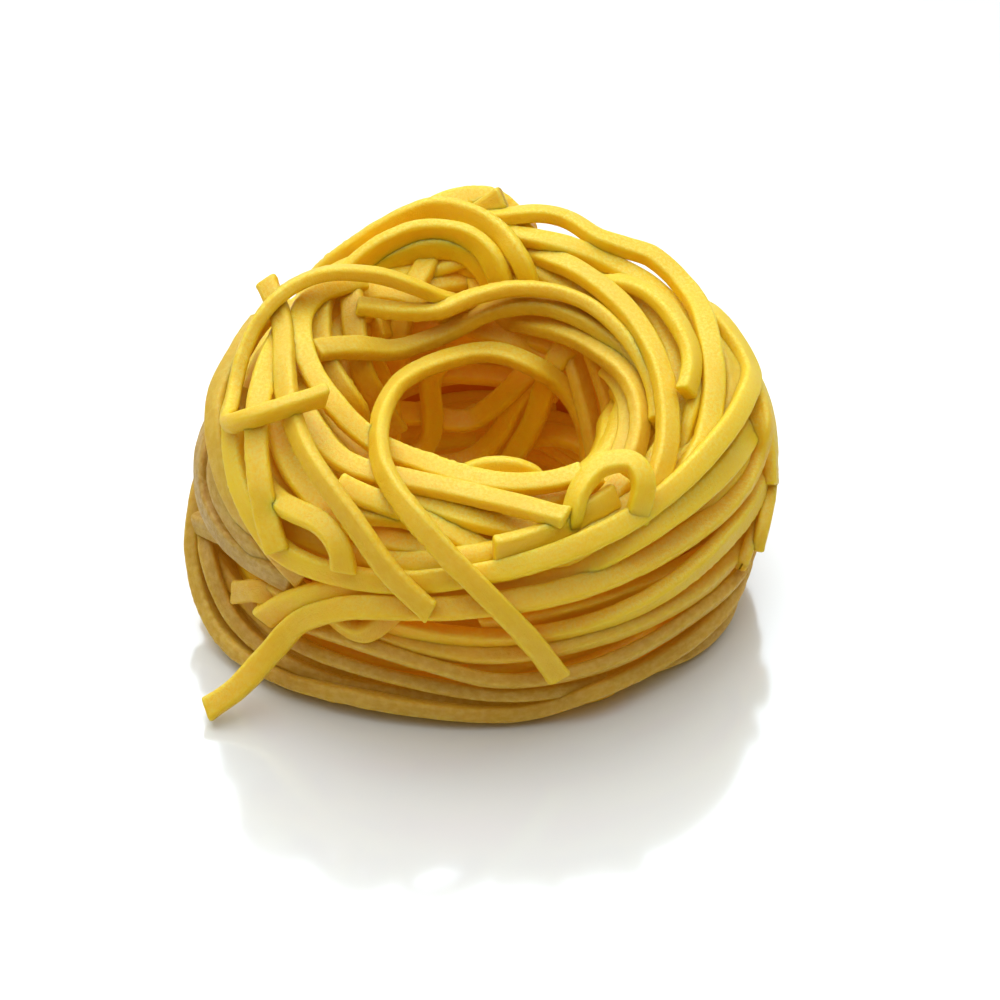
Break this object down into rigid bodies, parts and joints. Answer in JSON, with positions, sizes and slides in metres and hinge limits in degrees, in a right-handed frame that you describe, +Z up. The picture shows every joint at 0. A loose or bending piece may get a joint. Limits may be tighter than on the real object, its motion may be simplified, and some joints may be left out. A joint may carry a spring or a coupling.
{
  "type": "dry pasta nest",
  "caption": "Round coil of flat dried egg noodles wound into a bird's-nest shape, with an open hollow in the middle and loose cut ends.",
  "frame": {"origin": "middle of the footprint, on the surface the nest rests on", "axes": "+Z up, the shortest extent; -Y towards the low side of the nest with the long loose end, +Y towards the high side"},
  "size_m": [0.068, 0.064, 0.0369],
  "materials": {
    "dried_pasta": "dry egg dough, satin, finely mottled"
  },
  "bodies": {
    "root": {"pasta_nest": "dried_pasta"}
  },
  "joints": []
}
